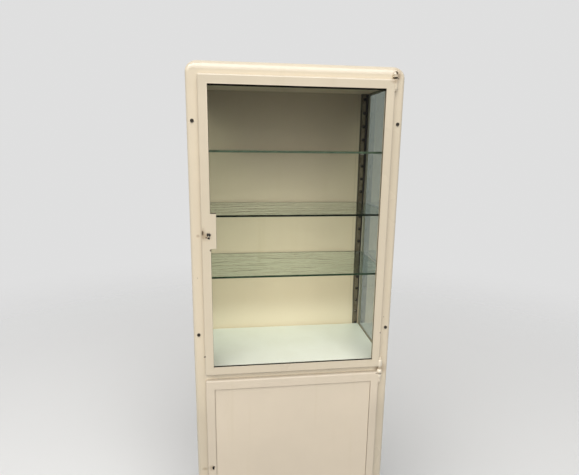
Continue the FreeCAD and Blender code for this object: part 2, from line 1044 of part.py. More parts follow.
def build_glazed_compartment():
    save_pair("left_side_glass", "right_side_glass", side_glass())
    save_pair("left_glazing_frame", "right_glazing_frame", glazing_frame())
    save_pair("rear_left_strip", "rear_right_strip", rear_strip())
    save_pair("front_left_strip", "front_right_strip", front_strip())
    save("strip_screws", strip_screws())
    save("shelf_clips", shelf_clips())
    names = ("top_glass_shelf", "middle_glass_shelf", "low_glass_shelf")
    for name, hole in zip(names, shelf_holes):
        save(name, glass_shelf(hole))
    save("opal_floor_plate", opal_floor_plate())


def build_hinges():
    save("top_hinge_bracket", hinge_arm(top_bracket_low(), bracket_height))
    save("middle_hinge_bracket", middle_hinge_bracket())
    save("bottom_hinge_bracket", hinge_arm(bottom_bracket_low(), bracket_height))
    save("top_hinge_pin", top_hinge_pin())
    save("middle_hinge_pin", middle_hinge_pin())
    save("bottom_hinge_pin", bottom_hinge_pin())
    save("hinge_washers", hinge_washers())


def build_upper_door():
    save("upper_door_frame", upper_door_frame())
    save("upper_door_back", upper_door_back())
    save("upper_door_glass", upper_door_glass())
    save("upper_door_seal", upper_door_seal())
    save("upper_door_knuckles", door_knuckles(upper_door_bottom, upper_door_top))
    save("upper_lock_case", lock_case(upper_keyhole_z))
    save("upper_lock_pin", lock_pin(upper_keyhole))
    save("upper_lock_bolt", lock_bolt(upper_keyhole_z))


def build_lower_door():
    save("lower_door_frame", lower_door_frame())
    save("lower_door_panel", lower_door_panel())
    save("lower_door_liner", lower_door_liner())
    save("lower_door_knuckles", door_knuckles(lower_door_bottom, lower_knuckle_top()))
    save("lower_lock_case", lock_case(lower_keyhole_z))
    save("lower_lock_pin", lock_pin(lower_keyhole))
    save("lower_lock_bolt", lock_bolt(lower_keyhole_z))


os.makedirs("parts", exist_ok=True)
build_body()
build_glazed_compartment()
build_hinges()
build_upper_door()
build_lower_door()
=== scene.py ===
import math
import bpy
import bmesh
from mathutils import Matrix, Vector

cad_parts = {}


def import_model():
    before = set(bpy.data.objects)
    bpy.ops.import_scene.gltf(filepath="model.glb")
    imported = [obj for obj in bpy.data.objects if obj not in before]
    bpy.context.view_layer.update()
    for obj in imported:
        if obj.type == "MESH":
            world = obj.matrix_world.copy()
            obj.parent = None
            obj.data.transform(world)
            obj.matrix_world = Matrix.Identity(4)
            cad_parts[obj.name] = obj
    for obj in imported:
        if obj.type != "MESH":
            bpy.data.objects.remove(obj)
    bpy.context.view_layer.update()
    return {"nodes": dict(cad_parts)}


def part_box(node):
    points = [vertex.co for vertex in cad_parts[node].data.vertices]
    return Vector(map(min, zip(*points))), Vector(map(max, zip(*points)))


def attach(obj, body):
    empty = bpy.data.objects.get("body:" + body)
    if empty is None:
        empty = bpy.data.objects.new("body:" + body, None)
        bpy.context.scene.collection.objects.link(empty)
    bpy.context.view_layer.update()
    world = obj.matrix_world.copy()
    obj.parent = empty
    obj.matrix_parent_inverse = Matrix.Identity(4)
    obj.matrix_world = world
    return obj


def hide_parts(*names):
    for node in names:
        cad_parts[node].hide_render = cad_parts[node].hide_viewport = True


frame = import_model()
nodes = frame["nodes"]

# Places read from the solids, in metres
upper_low, upper_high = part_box("upper_door_frame")
lower_low, lower_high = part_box("lower_door_frame")
pin_low, pin_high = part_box("top_hinge_pin")
strip_low, strip_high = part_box("rear_right_strip")
FRONT_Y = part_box("front_frame")[0][1]
DOOR_FRONT_Y = upper_low[1]
PANE_FRONT_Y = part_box("upper_door_glass")[0][1]
BACK_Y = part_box("back_panel")[0][1]
OPAL_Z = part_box("opal_floor_plate")[1][2]
STRIP_INNER_X = strip_low[0]
STRIP_OUTER_X = strip_high[0]
PIVOT = ((pin_low[0] + pin_high[0]) / 2, (pin_low[1] + pin_high[1]) / 2)
UPPER_MIDDLE_Z = (upper_low[2] + upper_high[2]) / 2
LOWER_MIDDLE_Z = (lower_low[2] + lower_high[2]) / 2
KEYHOLES = {"upper": (-0.2345, UPPER_MIDDLE_Z), "lower": (-0.2360, LOWER_MIDDLE_Z + 0.0034)}

# The upper door's opening, with the lock tab that reaches into it
STILE_WIDTH = 0.0235
RAIL_HEIGHT = 0.0240
PANE_LEFT, PANE_RIGHT = upper_low[0] + STILE_WIDTH, upper_high[0] - STILE_WIDTH
PANE_FOOT, PANE_HEAD = upper_low[2] + RAIL_HEIGHT, upper_high[2] - RAIL_HEIGHT
TAB_X = PANE_LEFT + 0.0152
TAB_FOOT, TAB_HEAD = UPPER_MIDDLE_Z - 0.0372, UPPER_MIDDLE_Z + 0.0557
# Clockwise from the lower left corner
PANE_OUTLINE = (
    (PANE_LEFT, PANE_FOOT), (PANE_LEFT, TAB_FOOT), (TAB_X, TAB_FOOT), (TAB_X, TAB_HEAD),
    (PANE_LEFT, TAB_HEAD), (PANE_LEFT, PANE_HEAD), (PANE_RIGHT, PANE_HEAD), (PANE_RIGHT, PANE_FOOT),
)

# Colours of the paint, and the tint of the door's pane
CREAM = (0.745, 0.645, 0.485)
# Lighter cream: painted light on the crossbar between the doors, where the upper door casts shade
CROSSBAR_LIGHT = (0.94, 0.835, 0.65)
# Lighter cream: painted light on the rounded hinge parts
LIT_PAINT = (0.80, 0.71, 0.56)
LOWER = (0.745, 0.645, 0.505)
INNER = (0.74, 0.62, 0.455)
DULL = (0.25, 0.245, 0.19)
CLEAR = (0.965, 0.965, 0.94)


# Shader helpers
def blank(name):
    """Empty node material: returns it and its node tree."""
    material = bpy.data.materials.new(name)
    material.use_nodes = True
    material.node_tree.nodes.clear()
    return material, material.node_tree


def add(tree, kind, inputs=None, **settings):
    """Node with settings and inputs, each a value or the socket that feeds it."""
    made = tree.nodes.new("ShaderNode" + kind)
    for key, value in settings.items():
        setattr(made, key, value)
    for key, value in (inputs or {}).items():
        if isinstance(value, bpy.types.NodeSocket):
            tree.links.new(value, made.inputs[key])
        else:
            made.inputs[key].default_value = value
    return made


def maths(tree, operation, first, second=0.0, clamp=False):
    made = add(tree, "Math", {0: first, 1: second}, operation=operation, use_clamp=clamp)
    return made.outputs[0]


def largest(tree, values):
    """Greatest of several values; None if there are none."""
    greatest = None
    for value in values:
        greatest = value if greatest is None else maths(tree, "MAXIMUM", greatest, value)
    return greatest


def place(tree):
    """Position on the cabinet at rest, in metres."""
    return add(tree, "TexCoord").outputs["Object"]


def split(tree, vector):
    """The three parts of a vector."""
    return tuple(add(tree, "SeparateXYZ", {0: vector}).outputs)


def facing(tree):
    """Direction that the surface faces."""
    return add(tree, "NewGeometry").outputs["Normal"]


def stretched(tree, vector, scale):
    return add(tree, "Mapping", {"Vector": vector, "Scale": scale}).outputs[0]


def noise(tree, vector, scale, detail=3.0, roughness=0.55):
    made = add(
        tree, "TexNoise", {"Vector": vector, "Scale": scale, "Detail": detail, "Roughness": roughness}
    )
    return made.outputs["Fac"]


def ramp(tree, value, low, high, to_low=0.0, to_high=1.0):
    """Smooth step from one value to another."""
    made = add(
        tree,
        "MapRange",
        {"Value": value, "From Min": low, "From Max": high, "To Min": to_low, "To Max": to_high},
        interpolation_type="SMOOTHSTEP",
    )
    return made.outputs["Result"]


def blended(tree, factor, first, second):
    """Colour mix."""
    made = add(tree, "Mix", {"Factor": factor}, data_type="RGBA")
    for index, value in ((6, first), (7, second)):
        if isinstance(value, bpy.types.NodeSocket):
            tree.links.new(value, made.inputs[index])
        else:
            made.inputs[index].default_value = (*value, 1.0)
    return made.outputs[2]


def combined(tree, operation, first, second):
    """Sum, difference or product of two vectors."""
    return add(tree, "VectorMath", {0: first, 1: second}, operation=operation).outputs[0]


def length_of(tree, vector):
    return add(tree, "VectorMath", {0: vector}, operation="LENGTH").outputs["Value"]


def bumped(tree, height, distance, strength=1.0, under=None):
    inputs = {"Height": height, "Distance": distance, "Strength": strength}
    if under is not None:
        inputs["Normal"] = under
    return add(tree, "Bump", inputs).outputs[0]


def dimmed(tree, base, where, factor):
    """Colour that is darker by a factor where a mask is 1."""
    level = blended(tree, where, (1.0, 1.0, 1.0), (factor, factor, factor))
    return combined(tree, "MULTIPLY", base, level)


def finish_surface(tree, shader):
    add(tree, "OutputMaterial", {"Surface": shader})


def close(material, tree, inputs):
    """Give a material one principled shader and return the material."""
    finish_surface(tree, add(tree, "BsdfPrincipled", inputs).outputs[0])
    return material


def shade(colour, factor):
    return tuple(channel * factor for channel in colour)


# Parts of the enamel
def spot(tree, vector, warp, centre, radii, softness=0.15):
    """1 inside an uneven spot on the front, 0 outside."""
    offset = combined(tree, "SUBTRACT", vector, centre)
    scaled = combined(tree, "MULTIPLY", offset, (1 / radii[0], 0.0, 1 / radii[1]))
    uneven = maths(tree, "ADD", length_of(tree, scaled), warp)
    return ramp(tree, uneven, 1.0 + softness, 1.0 - softness)


def ragged(tree, at):
    """Unevenness that frays the outline of a spot."""
    inputs = {0: noise(tree, at, 420.0, 3.0), 1: 1.6, 2: -0.8}
    return add(tree, "Math", inputs, operation="MULTIPLY_ADD").outputs[0]


def edge_wear(tree, at, amount):
    """1 where the paint has flaked off a rounded edge."""
    sizes = [maths(tree, "ABSOLUTE", part) for part in split(tree, facing(tree))]
    rounded = ramp(tree, largest(tree, sizes), 0.99, 0.9)
    flakes = ramp(tree, noise(tree, at, 130.0, 4.0, 0.65), 0.735 - amount, 0.76 - amount)
    return maths(tree, "MULTIPLY", rounded, flakes)


def crossbar_lit(tree, at, base, heights):
    """Painted light: a lighter cream between two heights, away from the sides of the front, over the
    shade under the upper door.
    """
    x, _, z = split(tree, at)
    blur, full_x, end_x = 0.002, 0.2480, 0.2560
    above = ramp(tree, z, heights[0], heights[0] + blur)
    below = ramp(tree, z, heights[1] + blur, heights[1])
    within = ramp(tree, maths(tree, "ABSOLUTE", x), end_x, full_x)
    level = maths(tree, "MULTIPLY", above, below)
    return blended(tree, maths(tree, "MULTIPLY", level, within), base, CROSSBAR_LIGHT)


def aged(tree, at, clouds, colour, lit_band):
    """Paint with soft clouds, dull streaks, a band of painted light where one is given, and fine specks.
    """
    base = blended(tree, ramp(tree, clouds, 0.3, 0.7), shade(colour, 0.965), shade(colour, 1.03))
    streaks = noise(tree, stretched(tree, at, (26.0, 26.0, 2.2)), 1.0, 3.0)
    dull = (colour[0] * 0.93, colour[1] * 0.92, colour[2] * 0.86)
    base = blended(tree, ramp(tree, streaks, 0.56, 0.78, 0.0, 0.5), base, dull)
    if lit_band is not None:
        base = crossbar_lit(tree, at, base, lit_band)
    specks = noise(tree, at, 420.0, 2.0)
    return blended(tree, ramp(tree, specks, 0.7, 0.78, 0.0, 0.35), base, shade(colour, 0.72))


def shaded_paint(tree, at, base, painted_shade, ledges):
    """Painted shade: paint that darkens from one height to another, and by the ledges factor where it
    faces up.
    """
    for start_height, full_height, factor in painted_shade:
        base = dimmed(tree, base, ramp(tree, split(tree, at)[2], start_height, full_height), factor)
    if ledges < 1.0:
        upward = split(tree, facing(tree))[2]
        base = dimmed(tree, base, ramp(tree, upward, 0.2, 0.7), ledges)
    return base


def behind_strips(tree, at, base, colour):
    """Back panel: painted shadow behind the shelf strips and along their outer sides, a darker brown
    band just inside them, painted light beyond them low down, the painted shade of a fold, and painted
    light at the foot.
    """
    x, y, z = split(tree, at)
    across = maths(tree, "ABSOLUTE", x)
    blur = 0.0008
    limit = ramp(tree, z, 1.05, 1.45, STRIP_OUTER_X + 0.0046, STRIP_OUTER_X + 0.0085)
    beyond = maths(tree, "SUBTRACT", across, limit)
    within = ramp(tree, beyond, blur, 0.0)
    behind = ramp(tree, across, STRIP_INNER_X + 0.0010, STRIP_INNER_X + 0.0016)
    behind = maths(tree, "MULTIPLY", behind, within)
    beside = ramp(tree, across, STRIP_INNER_X - 0.0032, STRIP_INNER_X - 0.0022)
    beside = maths(tree, "MULTIPLY", beside, within)
    inside = ramp(tree, y, BACK_Y + 0.00065, BACK_Y + 0.00035)
    outside = maths(tree, "MULTIPLY", ramp(tree, beyond, 0.0, blur), inside)
    outside = maths(tree, "MULTIPLY", outside, ramp(tree, z, 1.25, 1.05))
    # Painted light on the back panel beyond the strips, low down
    base = blended(tree, outside, base, (0.92, 0.90, 0.76))
    # Darker brown band just inside each strip
    base = blended(tree, maths(tree, "MULTIPLY", beside, inside), base, (0.16, 0.13, 0.085))
    # Painted shadow behind each strip and along its outer side, seen through the holes and the gap
    base = blended(tree, maths(tree, "MULTIPLY", behind, inside), base, (0.02, 0.016, 0.012))
    # Painted shade of a fold in the back panel beside the strips
    off_fold = maths(tree, "SUBTRACT", across, STRIP_INNER_X - 0.0120)
    fold = ramp(tree, maths(tree, "ABSOLUTE", off_fold), 0.0016, 0.0004, 0.0, 0.22)
    base = blended(tree, fold, base, shade(colour, 0.35))
    # Painted light near the foot, paler towards the opal plate
    foot = ramp(tree, z, OPAL_Z + 0.12, OPAL_Z + 0.02)
    return blended(tree, foot, base, (0.90, 0.785, 0.61))


# Materials
def enamel(
    name,
    colour,
    spots=(),
    stains_and_shadows=(),
    wear=0.0,
    roughness=0.3,
    coat=0.6,
    strips=False,
    painted_dark=(),
    lit_band=None,
    painted_shade=(),
    ledges=1.0,
):
    """Old stoved enamel: soft gloss, faint unevenness, painted shade and painted light where they are
    given, and rust where it has chipped.
    """
    material, tree = blank(name)
    at = place(tree)
    clouds = noise(tree, at, 3.2, 4.0)
    warp = ragged(tree, at)
    base = aged(tree, at, clouds, colour, lit_band)
    base = shaded_paint(tree, at, base, painted_shade, ledges)
    # Soft brown marks: stains, and where a list gives one, a painted shadow
    for centre, radii in stains_and_shadows:
        tone = maths(tree, "MULTIPLY", spot(tree, at, warp, centre, radii, 1.0), 0.55)
        base = blended(tree, tone, base, (0.30, 0.19, 0.09))
    if strips:
        base = behind_strips(tree, at, base, colour)
    gloss = ramp(tree, clouds, 0.3, 0.7, roughness - 0.05, roughness + 0.08)
    normal = bumped(tree, noise(tree, at, 7.0, 2.0), 0.004, 0.35)
    normal = bumped(tree, noise(tree, at, 230.0, 2.0), 0.0004, 0.25, normal)
    chips = [spot(tree, at, warp, centre, radii) for centre, radii in spots]
    if wear:
        chips.append(edge_wear(tree, at, wear))
    chipped = largest(tree, chips)
    if chipped is not None:
        rust = blended(tree, noise(tree, at, 900.0, 3.0), (0.040, 0.026, 0.013), (0.15, 0.095, 0.045))
        base = blended(tree, chipped, base, rust)
        # Near-black patches: painted shade inside the keyholes
        for centre, radii in painted_dark:
            base = blended(tree, spot(tree, at, warp, centre, radii), base, (0.006, 0.005, 0.004))
        gloss = maths(tree, "MAXIMUM", gloss, maths(tree, "MULTIPLY", chipped, 0.8))
        normal = bumped(tree, maths(tree, "MULTIPLY", chipped, -1.0), 0.0005, 0.7, normal)
    return close(
        material,
        tree,
        {
            "Base Color": base,
            "Roughness": gloss,
            "Normal": normal,
            "IOR": 1.5,
            "Coat Weight": coat,
            "Coat Roughness": 0.14,
        },
    )


def metal(name, colour, dirt, roughness, metallic=1.0):
    """Steel with a fine grain and darker dirt in patches."""
    material, tree = blank(name)
    at = place(tree)
    lines = noise(tree, stretched(tree, at, (900.0, 60.0, 60.0)), 1.0, 3.0)
    patches = noise(tree, at, 55.0, 4.0, 0.65)
    base = blended(tree, ramp(tree, patches, 0.42, 0.68, 0.0, 0.5), colour, dirt)
    base = blended(tree, ramp(tree, lines, 0.4, 0.75, 0.0, 0.3), base, shade(colour, 0.6))
    rough = ramp(tree, patches, 0.3, 0.7, roughness - 0.07, roughness + 0.15)
    normal = bumped(tree, lines, 0.0003, 0.3)
    return close(
        material,
        tree,
        {"Base Color": base, "Metallic": metallic, "Roughness": rough, "Normal": normal},
    )


def hole_painted_shade(tree, across, z):
    """1 on the painted shade round each hole of a shelf strip, 0 elsewhere."""
    hole_x, top_hole_z, pitch = 0.2640, 1.5043, 0.043
    row = maths(tree, "DIVIDE", maths(tree, "SUBTRACT", top_hole_z, z), pitch)
    off_row = maths(tree, "SUBTRACT", row, maths(tree, "ROUND", row))
    drop = maths(tree, "MULTIPLY", maths(tree, "ABSOLUTE", off_row), pitch)
    side = maths(tree, "ABSOLUTE", maths(tree, "SUBTRACT", across, hole_x))
    squares = [maths(tree, "POWER", distance, 2.0) for distance in (drop, side)]
    away = maths(tree, "SQRT", maths(tree, "ADD", *squares))
    return ramp(tree, away, 0.0056, 0.0044)


def strip_metal():
    """Old brown strip steel, with painted shade along both edges and round the holes."""
    material, tree = blank("strip_steel")
    at = place(tree)
    x, _, z = split(tree, at)
    across = maths(tree, "ABSOLUTE", x)
    streaks = noise(tree, stretched(tree, at, (300.0, 300.0, 9.0)), 1.0, 3.0)
    patches = noise(tree, at, 70.0, 4.0, 0.65)
    base = blended(tree, ramp(tree, patches, 0.35, 0.7), (0.185, 0.152, 0.100), (0.110, 0.086, 0.053))
    base = blended(tree, ramp(tree, streaks, 0.45, 0.75, 0.0, 0.5), base, (0.26, 0.22, 0.155))
    # Painted shade on the strip's shaded sides and round its holes
    outer = ramp(tree, across, STRIP_OUTER_X - 0.0022, STRIP_OUTER_X - 0.0012)
    inner = ramp(tree, across, STRIP_INNER_X + 0.0013, STRIP_INNER_X + 0.0005)
    inner = maths(tree, "MULTIPLY", inner, 0.6)
    dark = largest(tree, (outer, inner, hole_painted_shade(tree, across, z)))
    base = blended(tree, dark, base, (0.012, 0.009, 0.005))
    return close(
        material,
        tree,
        {
            "Base Color": base,
            "Metallic": 0.25,
            "Roughness": 0.55,
            "Specular IOR Level": 0.2,
            "Normal": bumped(tree, streaks, 0.0003, 0.3),
        },
    )


def with_lamps(tree, glass, tint):
    """Glass that lets the light of lamps through."""
    clear = add(tree, "BsdfTransparent", {"Color": (*tint, 1.0)})
    path = add(tree, "LightPath")
    inputs = {0: path.outputs["Is Shadow Ray"], 1: glass, 2: clear.outputs[0]}
    return add(tree, "MixShader", inputs).outputs[0]


def pane(name, high_colour, low_colour, tint, haze=0.02, ior=1.5):
    """Old window glass: slightly uneven, with a little dust, its colour changing with the height, which
    on the side panes is painted shade high up and painted light low down.
    """
    material, tree = blank(name)
    at = place(tree)
    dust = noise(tree, at, 9.0, 4.0)
    streaks = noise(tree, stretched(tree, at, (60.0, 60.0, 4.0)), 1.0, 3.0)
    smear = maths(tree, "MULTIPLY", ramp(tree, dust, 0.45, 0.75), ramp(tree, streaks, 0.5, 0.7))
    ripple = noise(tree, stretched(tree, at, (3.0, 3.0, 9.0)), 1.0, 2.0)
    level = ramp(tree, split(tree, at)[2], 0.80, 1.20)
    shader = add(
        tree,
        "BsdfPrincipled",
        {
            "Base Color": blended(tree, level, low_colour, high_colour),
            "Transmission Weight": 1.0,
            "Roughness": maths(tree, "MULTIPLY", smear, haze),
            "IOR": ior,
            "Normal": bumped(tree, ripple, 0.002, 0.1),
        },
    )
    finish_surface(tree, with_lamps(tree, shader.outputs[0], tint))
    return material


def shelf_glass(name, dark_green, light_green, face_tint=(0.67, 0.79, 0.775)):
    """Clear plate with green cut edges."""
    material, tree = blank(name)
    at = place(tree)
    upward = maths(tree, "ABSOLUTE", split(tree, facing(tree))[2])
    edge = ramp(tree, upward, 0.7, 0.4)
    ripple = noise(tree, stretched(tree, at, (9.0, 26.0, 1.0)), 1.0, 3.0)
    chips = noise(tree, at, 260.0, 3.0)
    face = add(
        tree,
        "BsdfPrincipled",
        {
            "Base Color": (*face_tint, 1.0),
            "Transmission Weight": 1.0,
            "Roughness": 0.0,
            "IOR": 1.52,
            "Normal": bumped(tree, ripple, 0.004, 0.28),
        },
    )
    cut = add(
        tree,
        "BsdfPrincipled",
        {
            "Base Color": blended(tree, ramp(tree, chips, 0.4, 0.75), dark_green, light_green),
            "Roughness": 0.3,
            "Specular IOR Level": 0.04,
            "Normal": bumped(tree, chips, 0.0004, 0.4),
        },
    )
    both = add(tree, "MixShader", {0: edge, 1: face.outputs[0], 2: cut.outputs[0]})
    finish_surface(tree, with_lamps(tree, both.outputs[0], (0.955, 0.965, 0.945)))
    return material


def opal(name):
    """White opal plate with a little dust."""
    material, tree = blank(name)
    at = place(tree)
    clouds = noise(tree, at, 14.0, 4.0)
    base = blended(tree, ramp(tree, clouds, 0.35, 0.7), (0.77, 0.795, 0.75), (0.745, 0.765, 0.71))
    dust = noise(tree, at, 700.0, 2.0)
    base = blended(tree, ramp(tree, dust, 0.68, 0.76, 0.0, 0.15), base, (0.42, 0.38, 0.28))
    rough = ramp(tree, clouds, 0.3, 0.7, 0.3, 0.42)
    inputs = {"Base Color": base, "Roughness": rough, "IOR": 1.52, "Coat Weight": 0.1}
    return close(material, tree, inputs)


def rubber(name, colour, shine=0.5):
    """Dull dark material with a fine grain, for rubber, putty and the keyholes' darkness."""
    material, tree = blank(name)
    at = place(tree)
    grain = noise(tree, at, 900.0, 3.0)
    clouds = noise(tree, at, 40.0, 3.0)
    return close(
        material,
        tree,
        {
            "Base Color": blended(tree, ramp(tree, clouds, 0.35, 0.7), colour, shade(colour, 1.9)),
            "Roughness": 0.75,
            "Specular IOR Level": shine,
            "Normal": bumped(tree, grain, 0.0003, 0.5),
        },
    )


# Marks on the paint, as the photograph shows them: the centre of each, its half width and half height
front_spots = (
    ((-0.2545, FRONT_Y, 0.8134), (0.0021, 0.0021)),
    ((0.2640, FRONT_Y, 1.5720), (0.0020, 0.0012)),
    ((-0.2670, FRONT_Y, 1.0450), (0.0010, 0.0010)),
    ((0.2610, FRONT_Y, 0.9130), (0.0012, 0.0009)),
)
upper_spots = (
    ((-0.2490, DOOR_FRONT_Y, 1.1715), (0.0023, 0.0058)),
    ((-0.2400, DOOR_FRONT_Y, 1.1588), (0.0021, 0.0016)),
    ((-0.2288, DOOR_FRONT_Y, 1.1240), (0.0028, 0.0026)),
    ((-0.2516, DOOR_FRONT_Y, 0.8201), (0.0021, 0.0020)),
    ((0.2490, DOOR_FRONT_Y, 0.8700), (0.0014, 0.0022)),
)
# Black patches at the upper keyhole: painted shade inside the hole
upper_painted_dark = (
    ((-0.2343, DOOR_FRONT_Y, 1.1660), (0.0052, 0.0046)),
    ((-0.2336, DOOR_FRONT_Y, 1.1570), (0.0034, 0.0031)),
)
upper_stains = (
    ((-0.2400, DOOR_FRONT_Y, 1.1620), (0.0110, 0.0080)),
    ((-0.2500, DOOR_FRONT_Y, 1.1700), (0.0060, 0.0120)),
    ((0.2500, DOOR_FRONT_Y, 1.5650), (0.0090, 0.0050)),
)
# Stains on the front; the soft one round the middle hinge, 0.75 high, is a painted shadow under the
# hinge ball
front_stains_and_shadows = (
    ((-0.2625, FRONT_Y, 0.4535), (0.0070, 0.0038)),
    ((0.2640, FRONT_Y, 1.5790), (0.0060, 0.0090)),
    ((-0.2625, FRONT_Y, 1.1610), (0.0036, 0.0030)),
    ((0.2590, FRONT_Y, 1.5830), (0.0080, 0.0120)),
    ((0.2600, FRONT_Y, 0.7500), (0.0150, 0.0130)),
    ((0.2590, FRONT_Y, 0.1770), (0.0100, 0.0070)),
)
foot_stains = (
    ((0.2780, 0.0, 0.7650), (0.0400, 0.0060)),
    ((-0.2780, 0.0, 0.7650), (0.0400, 0.0060)),
)
# Black patch at the lower keyhole: painted shade inside the hole
lower_painted_dark = (((-0.2374, DOOR_FRONT_Y, 0.4650), (0.0028, 0.0052)),)
lower_stains = (
    ((-0.2545, DOOR_FRONT_Y, 0.4655), (0.0034, 0.0020)),
    ((-0.2420, DOOR_FRONT_Y, 0.4660), (0.0060, 0.0070)),
)
lower_spots = lower_painted_dark + (
    ((0.2440, DOOR_FRONT_Y, 0.7420), (0.0030, 0.0010)),
    ((-0.2510, DOOR_FRONT_Y, 0.3300), (0.0010, 0.0026)),
)
# The crossbar of the front that shows between the doors, lightened by painted light
crossbar = (lower_high[2] - 0.0010, upper_low[2] - 0.0005)

# Each painted shade is the height where it starts, the height where it is full, and its factor there;
# ledges is painted shade on faces that look up
finishes = {
    "front": enamel(
        "enamel_front",
        CREAM,
        front_spots,
        front_stains_and_shadows,
        wear=0.02,
        lit_band=crossbar,
        painted_shade=((0.735, 0.600, 0.84), (1.575, 1.595, 0.80)),
    ),
    # Lighter copy of the paint: painted light on the hinge ball, the upper sleeve and the top hinge's
    # boss
    "lit_paint": enamel("enamel_lit_paint", LIT_PAINT, wear=0.02),
    # Lower sleeve: the lighter copy as painted light, with painted shade on its upward faces
    "knuckle": enamel("enamel_knuckle", LIT_PAINT, wear=0.03, coat=0.3, ledges=0.22),
    "body": enamel("enamel_body", shade(CREAM, 0.97), wear=0.03),
    "inner": enamel("enamel_inner", INNER, roughness=0.42, coat=0.0),
    "back": enamel(
        "enamel_back", INNER, roughness=0.42, coat=0.0, strips=True, painted_shade=((1.440, 1.560, 0.80),)
    ),
    # Lighter copy of the inner enamel: painted light on the ceiling
    "ceiling": enamel("enamel_ceiling", shade(INNER, 1.3), roughness=0.42, coat=0.0),
    "dull": enamel("enamel_dull", DULL, stains_and_shadows=foot_stains, roughness=0.55, coat=0.0),
    "upper_door": enamel(
        "enamel_upper_door",
        shade(CREAM, 0.96),
        upper_spots,
        upper_stains,
        wear=0.015,
        painted_dark=upper_painted_dark,
        painted_shade=((1.500, 1.560, 0.94),),
        ledges=0.8,
    ),
    "lower_frame": enamel(
        "enamel_lower_frame",
        LOWER,
        lower_spots,
        lower_stains,
        wear=0.015,
        roughness=0.4,
        coat=0.2,
        painted_dark=lower_painted_dark,
        painted_shade=((0.720, 0.600, 0.90),),
        ledges=0.68,
    ),
    "lower_door": enamel(
        "enamel_lower_door", LOWER, wear=0.015, roughness=0.4, coat=0.2, painted_shade=((0.66, 0.50, 0.96),)
    ),
    "door_pane": pane("door_pane", CLEAR, CLEAR, CLEAR, ior=1.15),
    # Side panes: painted shade high up and painted light low down
    "side_pane": pane(
        "side_pane", (0.335, 0.38, 0.345), (0.455, 0.50, 0.45), (0.64, 0.67, 0.62), haze=0.06
    ),
    # Shelf colours differ as painted reflection and shade: the top shelf's edges lighter, the middle
    # shelf's edges near black and its face lighter
    "shelf": shelf_glass("shelf_glass", (0.014, 0.032, 0.018), (0.045, 0.085, 0.05)),
    "top_shelf": shelf_glass("top_shelf_glass", (0.052, 0.080, 0.052), (0.115, 0.165, 0.110)),
    "dark_shelf": shelf_glass(
        "dark_shelf_glass", (0.002, 0.005, 0.002), (0.006, 0.012, 0.006), (0.785, 0.925, 0.895)
    ),
    "opal": opal("opal_glass"),
    "strip": strip_metal(),
    "bright": metal("bright_steel", (0.50, 0.48, 0.44), (0.20, 0.17, 0.13), 0.3),
    "glint": metal("painted_glint", (0.85, 0.78, 0.60), (0.60, 0.50, 0.33), 0.35, 0.2),
    "dark": metal("dark_screw", (0.035, 0.028, 0.020), (0.020, 0.013, 0.008), 0.5, 0.4),
    "lock": metal("lock_steel", (0.16, 0.145, 0.12), (0.07, 0.05, 0.035), 0.4),
    "brown": metal("brown_pin", (0.10, 0.075, 0.045), (0.05, 0.032, 0.018), 0.5, 0.5),
    "black": rubber("keyhole_black", (0.006, 0.005, 0.004), 0.0),
    "seal": rubber("seal_dark", (0.010, 0.008, 0.006), 0.1),
    "rubber": rubber("rubber_black", (0.03, 0.03, 0.03)),
}
nodes_of = {
    "front": [
        "front_frame", "top_hinge_bracket", "middle_hinge_bracket", "bottom_hinge_bracket",
        "hinge_washers",
    ],
    "body": [
        "top_cover", "left_side_panel", "right_side_panel",
        "front_left_leg", "front_right_leg", "rear_left_leg", "rear_right_leg",
    ],
    "back": ["back_panel"],
    "ceiling": ["ceiling_panel"],
    "inner": ["upper_deck", "bottom_panel", "steel_shelf", "shelf_rails"],
    "dull": ["left_glazing_frame", "right_glazing_frame"],
    "upper_door": ["upper_door_frame", "upper_door_back", "upper_door_knuckles"],
    "lower_frame": ["lower_door_frame", "lower_door_knuckles"],
    "lower_door": ["lower_door_panel", "lower_door_liner"],
    "door_pane": ["upper_door_glass"],
    "side_pane": ["left_side_glass", "right_side_glass"],
    "top_shelf": ["top_glass_shelf"],
    "shelf": ["low_glass_shelf"],
    "dark_shelf": ["middle_glass_shelf"],
    "opal": ["opal_floor_plate"],
    "strip": ["front_left_strip", "front_right_strip", "rear_left_strip", "rear_right_strip"],
    "bright": ["shelf_clips", "upper_lock_bolt", "lower_lock_bolt"],
    "brown": ["top_hinge_pin", "middle_hinge_pin", "bottom_hinge_pin"],
    "dark": ["strip_screws"],
    "lock": [
        "upper_lock_case", "lower_lock_case", "upper_lock_pin", "lower_lock_pin", "strike_angles",
    ],
    "seal": ["upper_door_seal"],
    "rubber": ["foot_caps", "door_buffers"],
}


def smooth(mesh):
    """Smooth shading that keeps the sharp edges."""
    mesh.shade_smooth()
    mesh.set_sharp_from_angle(angle=math.radians(35))


def dress(node_object, material):
    """Give a CAD node its material and smooth shading."""
    for material_slot in node_object.material_slots:
        material_slot.material = material
    smooth(node_object.data)
    weighted = node_object.modifiers.new("weighted", "WEIGHTED_NORMAL")
    weighted.keep_sharp = True


for finish, names in nodes_of.items():
    for name in names:
        dress(nodes[name], finishes[finish])
dressed = {name for names in nodes_of.values() for name in names}
if dressed != set(nodes):
    raise ValueError("finishes don't match the nodes: " + str(dressed ^ set(nodes)))


# Detail pieces
def piece(name, vertices, faces, material, body):
    """Mesh piece that rides on a body."""
    mesh = bpy.data.meshes.new(name)
    mesh.from_pydata(vertices, [], faces)
    shape = bmesh.new()
    shape.from_mesh(mesh)
    bmesh.ops.recalc_face_normals(shape, faces=shape.faces)
    shape.to_mesh(mesh)
    shape.free()
    smooth(mesh)
    mesh.materials.append(material)
    made_piece = bpy.data.objects.new(name, mesh)
    bpy.context.scene.collection.objects.link(made_piece)
    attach(made_piece, body)
    return made_piece


